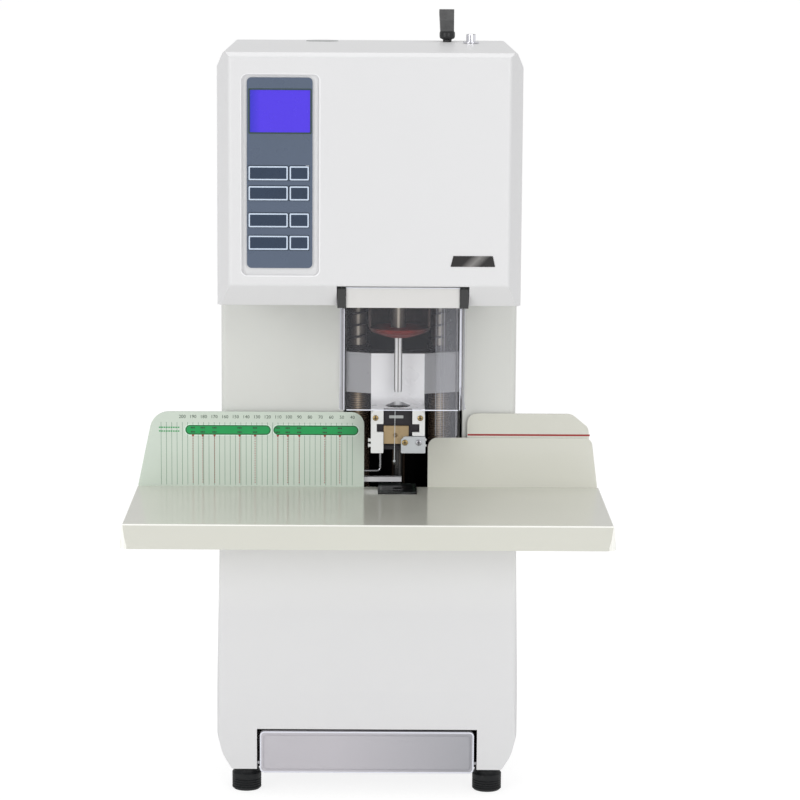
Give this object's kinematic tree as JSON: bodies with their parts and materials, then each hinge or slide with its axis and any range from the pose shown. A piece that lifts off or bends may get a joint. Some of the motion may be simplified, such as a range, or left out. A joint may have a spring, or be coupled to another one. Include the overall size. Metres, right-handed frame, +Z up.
{
  "type": "document riveting machine",
  "caption": "Bench machine that drills a stack of paper and rivets it with nylon tube; work table with fences, clear shield, drill head, press unit, chip drawer.",
  "frame": {"origin": "on the floor under the middle of the machine's outer box", "axes": "+Z up, +Y to the back, +X to the operator's right"},
  "size_m": [0.44, 0.33, 0.7133],
  "materials": {
    "shell_white": "smooth moulded, slightly glossy",
    "base_white": "powder coat, satin",
    "column_grey": "powder coat, satin",
    "table_cream": "gloss enamel",
    "fence_green": "printed, gloss",
    "dark_steel": "blackened",
    "steel": "ground",
    "chrome": "polished",
    "cover_grey": "satin",
    "bright_white": "satin",
    "black_plastic": "moulded",
    "rubber": "matt",
    "drawer_lavender": "satin",
    "panel_slate": "membrane film",
    "key_navy": "printed film",
    "screen_blue": "backlit",
    "clear": "clear acrylic",
    "red_rubber": "satin",
    "phenolic": "laminate",
    "board_green": "solder mask",
    "belt_black": "matt",
    "red_plastic": "moulded",
    "aluminium": "brushed"
  },
  "bodies": {
    "stand": {"base_shell": "base_white", "base_plate": "steel", "feet": "rubber", "work_table": "table_cream", "pad_block": "black_plastic", "ruler_fence": "fence_green", "plain_fence": "table_cream", "limit_plate": "table_cream", "back_stop": "aluminium", "column_shell": "column_grey", "rear_cover": "column_grey", "head_shell": "shell_white", "keypad_panel": "panel_slate", "display_window": "screen_blue", "control_board": "board_green", "frame_sides": "dark_steel", "lower_bed": "dark_steel", "cross_plates": "dark_steel", "guide_columns": "chrome", "drill_shroud": "dark_steel", "seal_ring": "red_rubber", "clear_guide": "clear", "hinge_clips": "black_plastic", "tube_inlet": "chrome", "actuators": "dark_steel", "power_inlet": "black_plastic", "chip_chute": "steel", "upper_spring_left": "dark_steel", "upper_spring_right": "dark_steel", "lower_spring_left": "dark_steel", "lower_spring_right": "dark_steel"},
    "drawer": {"chip_drawer": "drawer_lavender"},
    "shield": {"shield": "clear", "shield_bar": "bright_white"},
    "press": {"press_yoke": "steel", "bay_cover": "cover_grey", "press_brackets": "bright_white", "heater_block": "dark_steel", "insulator_block": "phenolic", "keeper_plate": "steel", "press_foot": "dark_steel", "press_rod": "dark_steel"},
    "punch": {"punch_rod": "dark_steel"},
    "drill_head": {"drill_carriage": "steel", "quill": "steel", "drill_motor": "dark_steel", "feed_rod": "chrome", "drive_belt": "belt_black"},
    "spindle": {"hollow_drill": "chrome"},
    "motor_shaft": {"motor_pulley": "steel"},
    "lever": {"clamp_lever": "black_plastic"},
    "rocker": {"power_rocker": "red_plastic"},
    "key_1": {"key_1": "key_navy"},
    "key_2": {"key_2": "key_navy"},
    "key_3": {"key_3": "key_navy"},
    "key_4": {"key_4": "key_navy"},
    "key_5": {"key_5": "key_navy"},
    "key_6": {"key_6": "key_navy"},
    "key_7": {"key_7": "key_navy"},
    "key_8": {"key_8": "key_navy"}
  },
  "joints": [
    {"name": "drawer_slide", "type": "slide", "parent": "stand", "child": "drawer", "axis": [0, -1, 0], "range_m": [0, 0.17]},
    {"name": "shield_lift", "type": "hinge", "parent": "stand", "child": "shield", "pos_m": [0, -0.11, 0.47], "axis": [-1, 0, 0], "range_deg": [0, 95]},
    {"name": "press_slide", "type": "slide", "parent": "stand", "child": "press", "axis": [0, 0, 1], "range_m": [-0.03, 0.012], "deforming": ["upper_spring_left", "upper_spring_right", "lower_spring_left", "lower_spring_right"]},
    {"name": "ejector_slide", "type": "slide", "parent": "press", "child": "punch", "axis": [0, 0, 1], "range_m": [-0.008, 0]},
    {"name": "drill_feed", "type": "slide", "parent": "stand", "child": "drill_head", "axis": [0, 0, 1], "range_m": [-0.093, 0]},
    {"name": "spindle_spin", "type": "hinge", "parent": "drill_head", "child": "spindle", "pos_m": [0.0274, 0.006, 0], "axis": [0, 0, 1], "continuous": true},
    {"name": "motor_spin", "type": "hinge", "parent": "drill_head", "child": "motor_shaft", "pos_m": [0.0285, 0.118, 0], "axis": [0, 0, 1], "continuous": true},
    {"name": "clamp_turn", "type": "hinge", "parent": "stand", "child": "lever", "pos_m": [0.0734, 0.122, 0], "axis": [0, 0, 1], "range_deg": [-60, 60]},
    {"name": "power_switch", "type": "hinge", "parent": "stand", "child": "rocker", "pos_m": [0.114, 0.161, 0.104], "axis": [1, 0, 0], "range_deg": [0, 18]},
    {"name": "key_1_press", "type": "slide", "parent": "stand", "child": "key_1", "axis": [0, 1, 0], "range_m": [0, 0.0005], "stiffness_N_per_m": 400},
    {"name": "key_2_press", "type": "slide", "parent": "stand", "child": "key_2", "axis": [0, 1, 0], "range_m": [0, 0.0005], "stiffness_N_per_m": 400},
    {"name": "key_3_press", "type": "slide", "parent": "stand", "child": "key_3", "axis": [0, 1, 0], "range_m": [0, 0.0005], "stiffness_N_per_m": 400},
    {"name": "key_4_press", "type": "slide", "parent": "stand", "child": "key_4", "axis": [0, 1, 0], "range_m": [0, 0.0005], "stiffness_N_per_m": 400},
    {"name": "key_5_press", "type": "slide", "parent": "stand", "child": "key_5", "axis": [0, 1, 0], "range_m": [0, 0.0005], "stiffness_N_per_m": 400},
    {"name": "key_6_press", "type": "slide", "parent": "stand", "child": "key_6", "axis": [0, 1, 0], "range_m": [0, 0.0005], "stiffness_N_per_m": 400},
    {"name": "key_7_press", "type": "slide", "parent": "stand", "child": "key_7", "axis": [0, 1, 0], "range_m": [0, 0.0005], "stiffness_N_per_m": 400},
    {"name": "key_8_press", "type": "slide", "parent": "stand", "child": "key_8", "axis": [0, 1, 0], "range_m": [0, 0.0005], "stiffness_N_per_m": 400}
  ],
  "couplings": [
    {"joint": "motor_spin", "follows": "spindle_spin", "ratio": 1}
  ]
}
